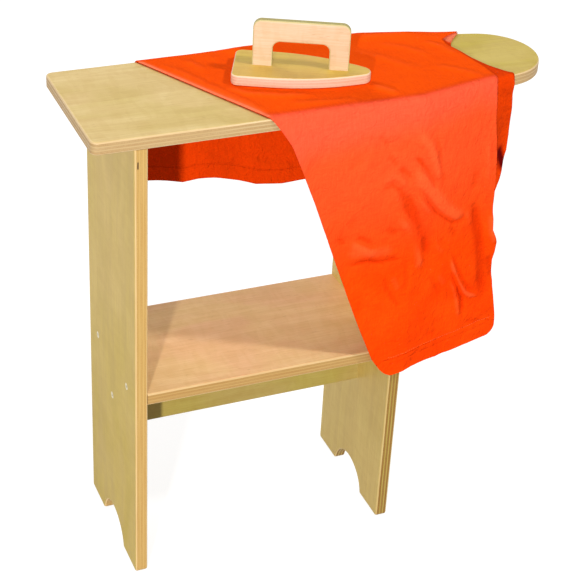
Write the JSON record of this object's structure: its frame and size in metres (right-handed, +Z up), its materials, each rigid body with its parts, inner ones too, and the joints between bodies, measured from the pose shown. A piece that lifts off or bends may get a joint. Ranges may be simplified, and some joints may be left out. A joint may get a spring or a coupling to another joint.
{
  "type": "toy ironing board",
  "caption": "Plywood toy ironing board with a round nose, panel legs, a shelf on a centre rail, a folded cloth laid over it and a plywood toy iron.",
  "frame": {"origin": "middle of the whole set's footprint, on the floor: halfway along the board, and at its centre line", "axes": "+Z up, +X along the board towards the round nose, +Y towards the back, away from the long flap of the cloth"},
  "size_m": [0.5959, 0.2143, 0.6907],
  "materials": {
    "board_ply": "clear-coated birch plywood, satin",
    "leg_ply": "clear-coated birch plywood, satin",
    "shelf_ply": "clear-coated birch plywood, satin",
    "iron_ply": "clear-coated birch plywood, satin",
    "cleat_pine": "planed pine, satin",
    "screw_steel": "zinc-plated, yellow passivated",
    "cotton": "matt woven cotton"
  },
  "bodies": {
    "stand": {"board_top": "board_ply", "left_leg": "leg_ply", "right_leg": "leg_ply", "shelf": "shelf_ply", "shelf_rail": "leg_ply", "left_cleat": "cleat_pine", "right_cleat": "cleat_pine", "left_frame_screws": "screw_steel", "right_frame_screws": "screw_steel", "left_cleat_screws": "screw_steel", "right_cleat_screws": "screw_steel"},
    "cloth_sheet": {"cloth": "cotton"},
    "iron": {"iron_sole": "iron_ply", "iron_handle": "iron_ply", "iron_screws": "screw_steel"}
  },
  "joints": [
    {"name": "cloth_lift", "type": "slide", "parent": "stand", "child": "cloth_sheet", "axis": [0, 0, 1], "range_m": [0, 0.4]},
    {"name": "iron_lift", "type": "slide", "parent": "cloth_sheet", "child": "iron", "axis": [0, 0, 1], "range_m": [0, 0.2]}
  ]
}
